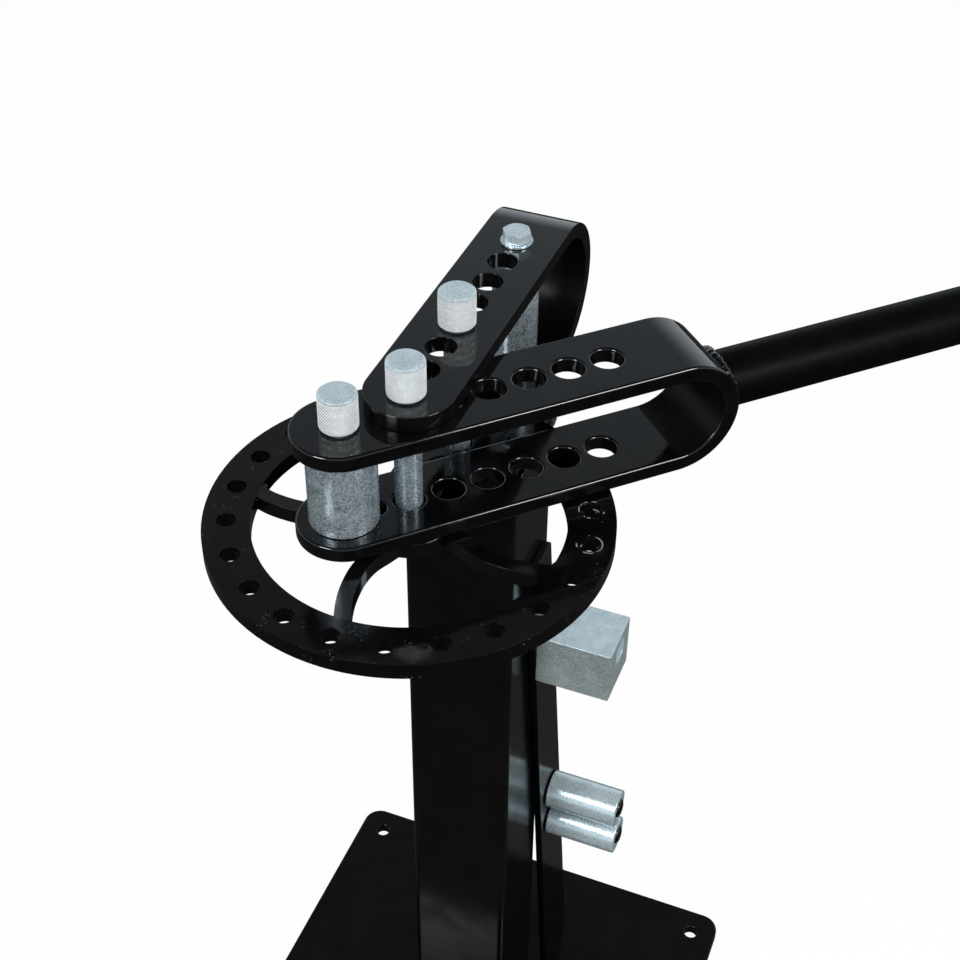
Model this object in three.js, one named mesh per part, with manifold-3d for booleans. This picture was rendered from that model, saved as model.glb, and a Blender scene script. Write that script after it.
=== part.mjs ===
// A floor-standing flat bar bender. A fixed U-shaped frame bar stands on a post with a drilled
// index ring round its pivot, and a second U-shaped bar with a long handle swings on the pivot
// pin and presses the flat bar round a die with its roller. Spare dies hang on the post's rear legs.
// Millimetres, +Z up, +Y along the fixed frame bar. The origin is on the floor under the pivot.
import * as THREE from "three";
import { mergeVertices } from "three/addons/utils/BufferGeometryUtils.js";
import Module from "manifold-3d";

const wasm = await Module();
wasm.setup();

// Driving dimensions
const pivotHeight = 800; // from the floor to the top face of the index ring
const seatGap = 0.3; // left between pieces that rest on each other
const cutOverrun = 4; // how far a cutting solid passes its workpiece
const pinDiameter = 19;
const pinHole = 22;

// Fixed frame bar, bent to a U that lies on its side
const frameBar = {
  width: 62,
  thick: 12,
  clearance: 90.6, // between the two legs
  pitch: 28.5,
  lowerEnd: 0, // centre of the lower leg's round end, along the bar from the pivot
  upperEnd: 6,
  bendCentre: 226.7,
  pinHoles: [0, 1, 2, 3, 4, 5, 6],
};
const frameBolt = { diameter: 12, hole: 13, index: 7, across: 19, headHeight: 7.5, nutHeight: 10 };
const frameWasher = { diameter: 24, thick: 2 };
const spacerDiameter = 35;

// Swinging bar, bent the same way and nested in the fixed frame
const armBar = {
  width: 66,
  thick: 12,
  clearance: 64,
  pitch: 29,
  lowerEnd: -46.4,
  upperEnd: -46.4,
  bendCentre: 190,
  pinHoles: [0, 1, 2, 3, 4, 5],
};
const armAngle = THREE.MathUtils.degToRad(45.3); // from +X
const pivotWasher = { diameter: 34, thick: 1.7, bore: 20 };
const trialHole = { diameter: 14, along: -24 }; // small hole beside the pivot in the arm's lower leg

// Roller between the arm's legs
const roller = { diameter: 47.6, bore: 20, chamfer: 1.2 };

// Loose pins with knurled heads
const pinHead = { diameter: 26.5, height: 27.3, chamfer: 1.6 };
const pinTipChamfer = 1.5;
const pivotPinPastLeg = 9; // how far the pivot pin stands out under the frame's lower leg
const pinShortOfLeg = 0.5; // how far the other two pins stop above the underside of their leg

// Handle
const handle = { diameter: 42.2, wall: 3.2, reach: 900 }; // reach is from the pivot to its end
const grip = { length: 150, thick: 4, rib: 1.2, ribs: 7, flange: 4, flangeLength: 7 };
const endCap = { thick: 4, plug: 14, plugWall: 0.5, chamfer: 1.5 };

// Index ring and its struts
const ring = { inner: 108, outer: 141, thick: 12, boltCircle: 124.4, hole: 13.7, divisions: 22 };
const strutWidth = 11;

// Post and base
const post = { width: 90, depth: 84, wall: 5, front: 85 };
const headPlateThick = 10;
const base = { halfWidth: 210, front: -70, rear: 330, thick: 12, corner: 18, hole: 14, holeInset: 26 };

// Rear legs on the post's sides, which also carry the spare dies
const rearLeg = { thick: 6.5, topBelowPivot: 137, waistBelowPivot: 345, frontPlace: 142, rearPlace: 191 };
const rearLegLean = { front: THREE.MathUtils.degToRad(8), rear: THREE.MathUtils.degToRad(9.7) };
const peg = { diameter: 18, dome: 4, stub: 40, full: 70 };
const squarePeg = { place: 155, belowPivot: 232.5 }; // place is the distance behind the pivot
const upperPeg = { place: 187.5, belowPivot: 473.2 };
const lowerPeg = { place: 192, belowPivot: 517.2 };
const squareDie = { side: 51.2, length: 63.5, bore: 22, boreRise: 8.8, boreShift: 2 };
const roundDie = { diameter: 35, length: 66.5, bore: 20, chamfer: 1, standOff: 0.8 };

// Material looks
const enamel = () => new THREE.MeshStandardMaterial({ color: 0x0a0a0b, roughness: 0.16, metalness: 0.1 });
const zinc = () => new THREE.MeshStandardMaterial({ color: 0xaeb9bd, roughness: 0.38, metalness: 0.85 });
const rubber = () => new THREE.MeshStandardMaterial({ color: 0x151516, roughness: 0.8, metalness: 0 });

// A closed geometry as a solid
function toSolid(geometry) {
  const bare = geometry.clone();
  bare.deleteAttribute("normal");
  bare.deleteAttribute("uv");
  const merged = mergeVertices(bare, 1e-4);
  return new wasm.Manifold(
    new wasm.Mesh({
      numProp: 3,
      vertProperties: merged.attributes.position.array,
      triVerts: new Uint32Array(merged.index.array),
    }),
  );
}

// A solid back to a geometry
function toGeometry(solid) {
  const mesh = solid.getMesh();
  const geometry = new THREE.BufferGeometry();
  geometry.setAttribute("position", new THREE.BufferAttribute(new Float32Array(mesh.vertProperties), 3));
  geometry.setIndex(new THREE.BufferAttribute(new Uint32Array(mesh.triVerts), 1));
  geometry.computeVertexNormals();
  return geometry;
}

function makeMesh(name, geometry, material) {
  const mesh = new THREE.Mesh(geometry, material);
  mesh.name = name;
  return mesh;
}

// A plan outline as a plate from bottom up
function plate(shape, bottom, thick, curveSegments = 12) {
  const geometry = new THREE.ExtrudeGeometry(shape, { depth: thick, bevelEnabled: false, curveSegments });
  geometry.translate(0, 0, bottom);
  return geometry;
}

// A side outline, drawn along and up, made width wide and centred on the along axis
function sidePlate(shape, width, curveSegments = 14) {
  const geometry = new THREE.ExtrudeGeometry(shape, { depth: width, bevelEnabled: false, curveSegments });
  geometry.rotateX(Math.PI / 2);
  geometry.translate(0, width / 2, 0);
  return geometry;
}

// A turned piece from radius and height pairs, closed on its axis
function turned(points, segments = 24) {
  return new THREE.LatheGeometry(points.map(([r, z]) => new THREE.Vector2(r, z)), segments).rotateX(Math.PI / 2);
}

// A turned piece with a bore right through it and a chamfer on both outer rims
function sleeve(diameter, bore, length, chamfer, segments = 24) {
  const outer = diameter / 2;
  const inner = bore / 2;
  return turned(
    [
      [inner, 0],
      [outer - chamfer, 0],
      [outer, chamfer],
      [outer, length - chamfer],
      [outer - chamfer, length],
      [inner, length],
      [inner, 0],
    ],
    segments,
  );
}

// A round hole's outline
function circle(x, y, radius, sides = 20) {
  const points = [];
  for (let k = 0; k < sides; k++) {
    const angle = (2 * Math.PI * k) / sides;
    points.push(new THREE.Vector2(x + radius * Math.cos(angle), y + radius * Math.sin(angle)));
  }
  return new THREE.Path(points);
}

// A leg's plan: one round end, straight sides, and the given round holes
function legPlan(bar, end, farEnd, holes) {
  const half = bar.width / 2;
  const shape = new THREE.Shape();
  shape.moveTo(farEnd, half);
  shape.lineTo(end, half);
  shape.absarc(end, 0, half, Math.PI / 2, (3 * Math.PI) / 2, false);
  shape.lineTo(farEnd, -half);
  shape.closePath();
  for (const [along, diameter] of holes) shape.holes.push(circle(along, 0, diameter / 2));
  return shape;
}

// A flat bar bent to a U on its side, its lower leg's underside at height bottom
function bentBar(bar, bottom, lowerHoles, upperHoles) {
  const inner = bar.clearance / 2;
  const outer = inner + bar.thick;
  const middle = bottom + outer;
  const front = Math.min(bar.lowerEnd, bar.upperEnd) - bar.width;
  const side = new THREE.Shape();
  side.moveTo(front, middle - outer);
  side.lineTo(bar.bendCentre, middle - outer);
  side.absarc(bar.bendCentre, middle, outer, -Math.PI / 2, Math.PI / 2, false);
  side.lineTo(front, middle + outer);
  side.lineTo(front, middle + inner);
  side.lineTo(bar.bendCentre, middle + inner);
  side.absarc(bar.bendCentre, middle, inner, Math.PI / 2, -Math.PI / 2, true);
  side.lineTo(front, middle - inner);
  side.closePath();
  const bent = toSolid(sidePlate(side, bar.width + 2 * cutOverrun));
  const farEnd = bar.bendCentre + outer + cutOverrun;
  const reach = outer + cutOverrun;
  const lower = plate(legPlan(bar, bar.lowerEnd, farEnd, lowerHoles), middle - reach, reach);
  const upper = plate(legPlan(bar, bar.upperEnd, farEnd, upperHoles), middle, reach);
  return bent.intersect(toSolid(lower).add(toSolid(upper)));
}

// Heights that the pieces share
const frameBottom = -ring.thick;
const frameUpperUnder = frameBottom + frameBar.thick + frameBar.clearance;
const frameTop = frameUpperUnder + frameBar.thick;
const armBottom = pivotWasher.thick + 2 * seatGap;
const armLowerTop = armBottom + armBar.thick;
const armUpperUnder = armLowerTop + armBar.clearance;
const armTop = armUpperUnder + armBar.thick;
const armMiddle = (armBottom + armTop) / 2;
const armBend = armBar.bendCentre + armBar.clearance / 2 + armBar.thick;
const boltPlace = frameBolt.index * frameBar.pitch;

function makeFixedFrame() {
  const pins = frameBar.pinHoles.map((index) => [index * frameBar.pitch, pinHole]);
  const holes = [...pins, [boltPlace, frameBolt.hole]];
  return makeMesh("fixed_frame", toGeometry(bentBar(frameBar, frameBottom, holes, holes)), enamel());
}

function makeSwingArm() {
  const pins = armBar.pinHoles.map((index) => [index * armBar.pitch, pinHole]);
  const holes = [[armBar.lowerEnd, pinHole], ...pins];
  const lowerHoles = [...holes, [trialHole.along, trialHole.diameter]];
  return makeMesh("swing_arm", toGeometry(bentBar(armBar, armBottom, lowerHoles, holes)), enamel());
}

// The ring is open at the rear, where the fixed frame's lower leg passes through it
function makeIndexRing() {
  const slot = frameBar.width / 2 + seatGap;
  const innerAngle = Math.acos(slot / ring.inner);
  const outerAngle = Math.acos(slot / ring.outer);
  const shape = new THREE.Shape();
  shape.absarc(0, 0, ring.outer, Math.PI - outerAngle, 2 * Math.PI + outerAngle, false);
  shape.absarc(0, 0, ring.inner, innerAngle, -Math.PI - innerAngle, true);
  shape.closePath();
  const step = (2 * Math.PI) / ring.divisions;
  for (let k = 2; k <= ring.divisions - 2; k++) {
    const angle = Math.PI / 2 + k * step;
    const x = ring.boltCircle * Math.cos(angle);
    const y = ring.boltCircle * Math.sin(angle);
    shape.holes.push(circle(x, y, ring.hole / 2, 16));
  }
  return makeMesh("index_ring", plate(shape, -ring.thick, ring.thick, 36), enamel());
}

// A curved strut follows its centre line from the ring's inner edge to the frame's lower leg
function makeStrut(name, centreShares) {
  const points = centreShares.map(([x, y]) => new THREE.Vector2(x * ring.inner, y * ring.inner));
  const line = new THREE.SplineCurve(points);
  const steps = 14;
  const left = [];
  const right = [];
  for (let i = 0; i <= steps; i++) {
    const at = line.getPoint(i / steps);
    const along = line.getTangent(i / steps);
    const side = new THREE.Vector2(-along.y, along.x).multiplyScalar(strutWidth / 2);
    left.push(at.clone().add(side));
    right.unshift(at.clone().sub(side));
  }
  const shape = new THREE.Shape([...left, ...right]);
  const body = toSolid(plate(shape, -ring.thick, ring.thick));
  const inside = new THREE.Shape();
  inside.absarc(0, 0, ring.inner - seatGap, 0, 2 * Math.PI, false);
  const reach = ring.thick + 2 * cutOverrun;
  const within = toSolid(plate(inside, -ring.thick - cutOverrun, reach, 36));
  const grown = { width: frameBar.width + 2 * seatGap };
  const leg = plate(legPlan(grown, frameBar.lowerEnd, ring.outer, []), -ring.thick - cutOverrun, reach);
  leg.rotateZ(Math.PI / 2);
  return makeMesh(name, toGeometry(body.intersect(within).subtract(toSolid(leg))), enamel());
}

// Strut centre lines, as shares of the ring's inner radius
const sideStrutShares = [
  [1.04, -0.13],
  [0.885, -0.175],
  [0.722, -0.185],
  [0.556, -0.162],
  [0.37, -0.074],
  [0.24, -0.02],
];
const frontStrutShares = [
  [0.012, -1.04],
  [-0.045, -0.87],
  [-0.077, -0.741],
  [-0.092, -0.583],
  [-0.074, -0.444],
  [-0.028, -0.333],
  [0.01, -0.24],
];

function makeRingStruts() {
  const mirrored = sideStrutShares.map(([x, y]) => [-x, y]);
  return [
    makeStrut("ring_strut_right", sideStrutShares),
    makeStrut("ring_strut_left", mirrored),
    makeStrut("ring_strut_front", frontStrutShares),
  ];
}

// A loose pin whose head rests on the face at height seat and whose shaft ends at height foot
function makePin(name, seat, foot) {
  const shaft = pinDiameter / 2;
  const head = pinHead.diameter / 2;
  const under = seat + seatGap;
  const top = under + pinHead.height;
  const profile = [
    [0, foot],
    [shaft - pinTipChamfer, foot],
    [shaft, foot + pinTipChamfer],
    [shaft, under],
    [head - pinHead.chamfer, under],
    [head, under + pinHead.chamfer],
    [head, top - pinHead.chamfer],
    [head - pinHead.chamfer, top],
    [0, top],
  ];
  return makeMesh(name, turned(profile), zinc());
}

function makeRoller() {
  const length = armBar.clearance - 2 * seatGap;
  const geometry = sleeve(roller.diameter, roller.bore, length, roller.chamfer, 32);
  geometry.translate(0, 0, armLowerTop + seatGap);
  return makeMesh("roller", geometry, zinc());
}

function makePivotWasher() {
  const geometry = sleeve(pivotWasher.diameter, pivotWasher.bore, pivotWasher.thick, pivotWasher.thick / 8);
  geometry.translate(0, 0, seatGap);
  return makeMesh("pivot_washer", geometry, zinc());
}

function hexagon(across) {
  const corner = across / Math.sqrt(3);
  const shape = new THREE.Shape();
  for (let k = 0; k < 6; k++) {
    const angle = (k * Math.PI) / 3;
    if (k === 0) shape.moveTo(corner * Math.cos(angle), corner * Math.sin(angle));
    else shape.lineTo(corner * Math.cos(angle), corner * Math.sin(angle));
  }
  shape.closePath();
  return shape;
}

// The cross bolt that clamps the fixed frame's legs on its spacer
function makeFrameBoltSet() {
  const spacer = sleeve(spacerDiameter, frameBolt.hole, frameBar.clearance - 2 * seatGap, 1);
  spacer.translate(0, 0, frameBottom + frameBar.thick + seatGap);
  const washerTop = sleeve(frameWasher.diameter, frameBolt.hole, frameWasher.thick, frameWasher.thick / 8);
  const washerBottom = washerTop.clone();
  washerTop.translate(0, 0, frameTop + seatGap);
  washerBottom.translate(0, 0, frameBottom - seatGap - frameWasher.thick);
  const headUnder = frameTop + frameWasher.thick + 2 * seatGap;
  const nutTop = frameBottom - frameWasher.thick - 2 * seatGap;
  const foot = nutTop - frameBolt.nutHeight - frameBolt.diameter / 4;
  const head = toSolid(plate(hexagon(frameBolt.across), headUnder, frameBolt.headHeight));
  const shankPlan = new THREE.Shape();
  shankPlan.absarc(0, 0, frameBolt.diameter / 2, 0, 2 * Math.PI, false);
  const shank = toSolid(plate(shankPlan, foot, headUnder - foot + frameBolt.headHeight / 2));
  const nutPlan = hexagon(frameBolt.across);
  nutPlan.holes.push(circle(0, 0, frameBolt.diameter / 2 + seatGap));
  const nut = plate(nutPlan, nutTop - frameBolt.nutHeight, frameBolt.nutHeight);
  const set = new THREE.Group();
  set.position.x = boltPlace;
  set.add(
    makeMesh("frame_spacer", spacer, zinc()),
    makeMesh("frame_washer_top", washerTop, zinc()),
    makeMesh("frame_washer_bottom", washerBottom, zinc()),
    makeMesh("frame_bolt", toGeometry(head.add(shank)), zinc()),
    makeMesh("frame_nut", nut, zinc()),
  );
  return set;
}

// A turned piece that lies along the arm, at the middle of its bend
function alongArm(geometry, start) {
  geometry.rotateY(Math.PI / 2);
  geometry.translate(start, 0, armMiddle);
  return geometry;
}

// The tube's front end is coped to the round of the bend
function makeHandleTube() {
  const outer = handle.diameter / 2;
  const inner = outer - handle.wall;
  const bendOuter = armBar.clearance / 2 + armBar.thick;
  const start = armBend - outer;
  const wall = [
    [inner, 0],
    [outer, 0],
    [outer, handle.reach - start],
    [inner, handle.reach - start],
    [inner, 0],
  ];
  const tube = toSolid(alongArm(turned(wall), start));
  const cutter = new THREE.CylinderGeometry(
    bendOuter + seatGap,
    bendOuter + seatGap,
    armBar.width + 2 * cutOverrun,
    48,
  );
  cutter.translate(armBar.bendCentre, 0, armMiddle);
  return makeMesh("handle_tube", toGeometry(tube.subtract(toSolid(cutter))), enamel());
}

// Rubber grip with finger ribs and a flange at its front
function makeHandleGrip() {
  const inner = handle.diameter / 2 + seatGap;
  const outer = inner + grip.thick;
  const pitch = (grip.length - 2 * grip.flangeLength) / grip.ribs;
  const profile = [
    [inner, 0],
    [outer + grip.flange, 0],
    [outer + grip.flange, grip.flangeLength],
    [outer, grip.flangeLength],
  ];
  for (let k = 0; k < grip.ribs; k++) {
    const from = grip.flangeLength + k * pitch;
    profile.push([outer, from + pitch / 4], [outer + grip.rib, from + pitch / 2]);
    profile.push([outer, from + (3 * pitch) / 4]);
  }
  profile.push([outer, grip.length], [inner, grip.length], [inner, 0]);
  return makeMesh("handle_grip", alongArm(turned(profile), handle.reach - grip.length), rubber());
}

function makeHandleEndCap() {
  const face = handle.diameter / 2;
  const plug = face - handle.wall - seatGap;
  const profile = [
    [0, 0],
    [plug - endCap.plugWall, 0],
    [plug, endCap.plug / 2],
    [plug, endCap.plug],
    [face, endCap.plug],
    [face, endCap.plug + endCap.thick - endCap.chamfer],
    [face - endCap.chamfer, endCap.plug + endCap.thick],
    [0, endCap.plug + endCap.thick],
  ];
  const start = handle.reach + seatGap - endCap.plug;
  return makeMesh("handle_end_cap", alongArm(turned(profile), start), rubber());
}

// A plan rectangle between two corners
function rectangle(x0, y0, x1, y1) {
  const shape = new THREE.Shape();
  shape.moveTo(x0, y0);
  shape.lineTo(x1, y0);
  shape.lineTo(x1, y1);
  shape.lineTo(x0, y1);
  shape.closePath();
  return shape;
}

// The head plate closes the box tube and carries the frame's lower leg
const headPlateTop = pivotHeight + frameBottom - seatGap;
const postTop = headPlateTop - headPlateThick - seatGap;

function makePost() {
  const half = post.width / 2;
  const tube = rectangle(-half, post.front, half, post.front + post.depth);
  const hollow = rectangle(
    -half + post.wall,
    post.front + post.wall,
    half - post.wall,
    post.front + post.depth - post.wall,
  );
  tube.holes.push(hollow);
  const bottom = base.thick + seatGap;
  return makeMesh("post", plate(tube, bottom, postTop - bottom), enamel());
}

function makeHeadPlate() {
  const half = post.width / 2;
  const shape = rectangle(-half, post.front, half, post.front + post.depth);
  return makeMesh("post_head_plate", plate(shape, headPlateTop - headPlateThick, headPlateThick), enamel());
}

function makeBasePlate() {
  const { halfWidth, front, rear, corner } = base;
  const shape = new THREE.Shape();
  shape.moveTo(-halfWidth + corner, front);
  shape.lineTo(halfWidth - corner, front);
  shape.absarc(halfWidth - corner, front + corner, corner, -Math.PI / 2, 0, false);
  shape.lineTo(halfWidth, rear - corner);
  shape.absarc(halfWidth - corner, rear - corner, corner, 0, Math.PI / 2, false);
  shape.lineTo(-halfWidth + corner, rear);
  shape.absarc(-halfWidth + corner, rear - corner, corner, Math.PI / 2, Math.PI, false);
  shape.lineTo(-halfWidth, front + corner);
  shape.absarc(-halfWidth + corner, front + corner, corner, Math.PI, (3 * Math.PI) / 2, false);
  for (const x of [-halfWidth + base.holeInset, halfWidth - base.holeInset]) {
    for (const y of [front + base.holeInset, rear - base.holeInset]) {
      shape.holes.push(circle(x, y, base.hole / 2));
    }
  }
  return makeMesh("base_plate", plate(shape, 0, base.thick, 8), enamel());
}

// A leaning, slightly tapered flat bar on the post's side, cut level at its foot and its top
function makeRearLeg(name, side) {
  const waist = pivotHeight - rearLeg.waistBelowPivot;
  const top = pivotHeight - rearLeg.topBelowPivot;
  const foot = base.thick + seatGap;
  const frontAt = (height) => rearLeg.frontPlace + (waist - height) * Math.tan(rearLegLean.front);
  const rearAt = (height) => rearLeg.rearPlace + (waist - height) * Math.tan(rearLegLean.rear);
  const shape = new THREE.Shape();
  shape.moveTo(frontAt(top), top);
  shape.lineTo(rearAt(top), top);
  shape.lineTo(rearAt(foot), foot);
  shape.lineTo(frontAt(foot), foot);
  shape.closePath();
  const geometry = sidePlate(shape, rearLeg.thick);
  geometry.rotateZ(Math.PI / 2);
  geometry.translate(side * (post.width / 2 + seatGap + rearLeg.thick / 2), 0, 0);
  return makeMesh(name, geometry, enamel());
}

const legFace = post.width / 2 + rearLeg.thick + seatGap;

// A turned or extruded piece that stands out of the right leg's face, centred below its peg's axis
function onLeg(geometry, seat, drop, standOff) {
  geometry.rotateY(Math.PI / 2);
  geometry.translate(legFace + seatGap + standOff, seat.place, pivotHeight - seat.belowPivot - drop);
  return geometry;
}

function makePeg(name, seat, length) {
  const radius = peg.diameter / 2;
  const profile = [
    [0, 0],
    [radius, 0],
    [radius, length - peg.dome],
    [radius * Math.SQRT1_2, length - peg.dome * (1 - Math.SQRT1_2)],
    [0, length],
  ];
  return makeMesh(name, onLeg(turned(profile, 20), seat, 0, 0), enamel());
}

// A die hangs with the top of its bore on its peg
function makeRoundDie(name, seat) {
  const drop = (roundDie.bore - peg.diameter) / 2 - seatGap;
  const geometry = sleeve(roundDie.diameter, roundDie.bore, roundDie.length, roundDie.chamfer);
  return makeMesh(name, onLeg(geometry, seat, drop, roundDie.standOff), zinc());
}

// The square die's bore is off its centre, up and to the rear
function makeSquareDie() {
  const half = squareDie.side / 2;
  const { boreRise, boreShift } = squareDie;
  const drop = (squareDie.bore - peg.diameter) / 2 - seatGap;
  const shape = rectangle(boreRise - half, -boreShift - half, boreRise + half, half - boreShift);
  shape.holes.push(circle(0, 0, squareDie.bore / 2));
  const geometry = plate(shape, 0, squareDie.length, 12);
  return makeMesh("square_die", onLeg(geometry, squarePeg, drop, 0), zinc());
}

// Pieces on the fixed frame bar, laid out along the bar and turned to +Y
function makeFrameGroup() {
  const group = new THREE.Group();
  group.position.z = pivotHeight;
  group.rotation.z = Math.PI / 2;
  const pivotPin = makePin("pivot_pin", frameTop, frameBottom - pivotPinPastLeg);
  const anchorPin = makePin("anchor_pin", frameTop, frameBottom + pinShortOfLeg);
  anchorPin.position.x = frameBar.pitch * 3;
  group.add(makeFixedFrame(), makeFrameBoltSet(), makePivotWasher(), pivotPin, anchorPin);
  return group;
}

// Pieces that swing on the pivot pin
function makeArmGroup() {
  const group = new THREE.Group();
  group.position.z = pivotHeight;
  group.rotation.z = armAngle;
  const rollerPin = makePin("roller_pin", armTop, armBottom + pinShortOfLeg);
  const rollerMesh = makeRoller();
  rollerPin.position.x = armBar.lowerEnd;
  rollerMesh.position.x = armBar.lowerEnd;
  group.add(makeSwingArm(), rollerPin, rollerMesh, makeHandleTube(), makeHandleGrip(), makeHandleEndCap());
  return group;
}

function makeRingGroup() {
  const group = new THREE.Group();
  group.position.z = pivotHeight;
  group.add(makeIndexRing(), ...makeRingStruts());
  return group;
}

function makeStand() {
  const group = new THREE.Group();
  group.add(
    makeBasePlate(),
    makePost(),
    makeHeadPlate(),
    makeRearLeg("rear_leg_right", 1),
    makeRearLeg("rear_leg_left", -1),
    makePeg("peg_square", squarePeg, peg.stub),
    makePeg("peg_upper", upperPeg, peg.full),
    makePeg("peg_lower", lowerPeg, peg.full),
    makeSquareDie(),
    makeRoundDie("round_die_upper", upperPeg),
    makeRoundDie("round_die_lower", lowerPeg),
  );
  return group;
}

const bender = new THREE.Group();
bender.add(makeStand(), makeRingGroup(), makeFrameGroup(), makeArmGroup());

export default bender;
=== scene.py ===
import math

import bmesh
import bpy
from mathutils import Matrix, Vector, noise


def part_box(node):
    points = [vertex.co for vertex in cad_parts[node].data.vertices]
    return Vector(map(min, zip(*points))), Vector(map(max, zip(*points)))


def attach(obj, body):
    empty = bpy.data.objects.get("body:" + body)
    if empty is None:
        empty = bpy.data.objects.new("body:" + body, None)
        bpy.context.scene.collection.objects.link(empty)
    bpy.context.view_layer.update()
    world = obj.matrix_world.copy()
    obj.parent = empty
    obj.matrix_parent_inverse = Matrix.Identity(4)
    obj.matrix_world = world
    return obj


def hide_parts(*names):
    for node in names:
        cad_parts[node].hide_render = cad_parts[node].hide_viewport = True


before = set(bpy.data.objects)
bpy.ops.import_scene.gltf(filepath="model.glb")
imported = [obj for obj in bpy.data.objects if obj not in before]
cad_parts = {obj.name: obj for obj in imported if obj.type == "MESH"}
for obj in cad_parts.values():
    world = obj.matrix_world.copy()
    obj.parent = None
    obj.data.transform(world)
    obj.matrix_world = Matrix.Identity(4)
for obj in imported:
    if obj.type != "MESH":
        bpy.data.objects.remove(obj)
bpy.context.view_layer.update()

mm = 0.001


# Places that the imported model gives
def nodeBox(node):
    low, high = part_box(node)
    return Vector(low), Vector(high)


def middle(node):
    low, high = nodeBox(node)
    return (low + high) / 2


pivotZ = nodeBox("index_ring")[1].z
rollerSpot = middle("roller")
armTurn = math.atan2(-rollerSpot.y, -rollerSpot.x)
armPlace = Matrix.Translation((0, 0, pivotZ)) @ Matrix.Rotation(armTurn, 4, "Z")
barPlace = Matrix.Translation((0, 0, pivotZ)) @ Matrix.Rotation(math.pi / 2, 4, "Z")
ringPlace = Matrix.Translation((0, 0, pivotZ))
print("frame loaded, pivot plane at", round(pivotZ, 4))


# Materials
def newMaterial(name):
    material = bpy.data.materials.new(name)
    material.use_nodes = True
    tree = material.node_tree
    return material, tree, tree.nodes["Principled BSDF"]


def addNode(tree, kind, **values):
    node = tree.nodes.new(kind)
    for key, value in values.items():
        if hasattr(node, key):
            setattr(node, key, value)
        else:
            node.inputs[key.replace("_", " ")].default_value = value
    return node


def noiseOf(tree, coords, scale, detail=4, roughness=0.55):
    node = addNode(tree, "ShaderNodeTexNoise", Scale=scale, Detail=detail, Roughness=roughness)
    tree.links.new(coords, node.inputs["Vector"])
    return node.outputs["Fac"]


def rampOf(tree, source, stops):
    ramp = tree.nodes.new("ShaderNodeValToRGB")
    elements = ramp.color_ramp.elements
    while len(elements) < len(stops):
        elements.new(0.5)
    for element, (place, color) in zip(elements, stops):
        element.position = place
        element.color = (*color, 1) if len(color) == 3 else color
    tree.links.new(source, ramp.inputs["Fac"])
    return ramp.outputs["Color"]


def grey(value):
    return (value, value, value)


def mathOf(tree, operation, first, second):
    node = tree.nodes.new("ShaderNodeMath")
    node.operation = operation
    for socket, value in zip(node.inputs, (first, second)):
        if isinstance(value, (int, float)):
            socket.default_value = value
        else:
            tree.links.new(value, socket)
    return node.outputs["Value"]


def mixColor(tree, factor, first, second):
    node = tree.nodes.new("ShaderNodeMix")
    node.data_type = "RGBA"
    tree.links.new(factor, node.inputs["Factor"])
    for socket, value in ((node.inputs[6], first), (node.inputs[7], second)):
        if isinstance(value, tuple):
            socket.default_value = (*value, 1)
        else:
            tree.links.new(value, socket)
    return node.outputs[2]


def bumpOf(tree, height, strength, distance, previous=None):
    node = addNode(tree, "ShaderNodeBump", Strength=strength, Distance=distance)
    tree.links.new(height, node.inputs["Height"])
    if previous is not None:
        tree.links.new(previous, node.inputs["Normal"])
    return node.outputs["Normal"]


enamelLook = {
    "color": (0.0011, 0.0011, 0.0013),
    "bareMetal": (0.2, 0.21, 0.21),
    "dustGlint": (0.16, 0.18, 0.19),
    "specular": 0.5,
    "smooth": 0.06,
    "dull": 0.15,
    "peelScale": 210,
    "runScale": 38,
    "nibScale": 260,
    "nibReach": 0.09,
    "patchScale": 55,
    "chipScale": 120,
    "chipFrom": 0.52,
}


# Distance of a point from a spot, in metres
def distanceFrom(tree, coords, spot):
    away = tree.nodes.new("ShaderNodeVectorMath")
    away.operation = "DISTANCE"
    away.inputs[1].default_value = spot
    tree.links.new(coords, away.inputs[0])
    return away.outputs["Value"]
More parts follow.
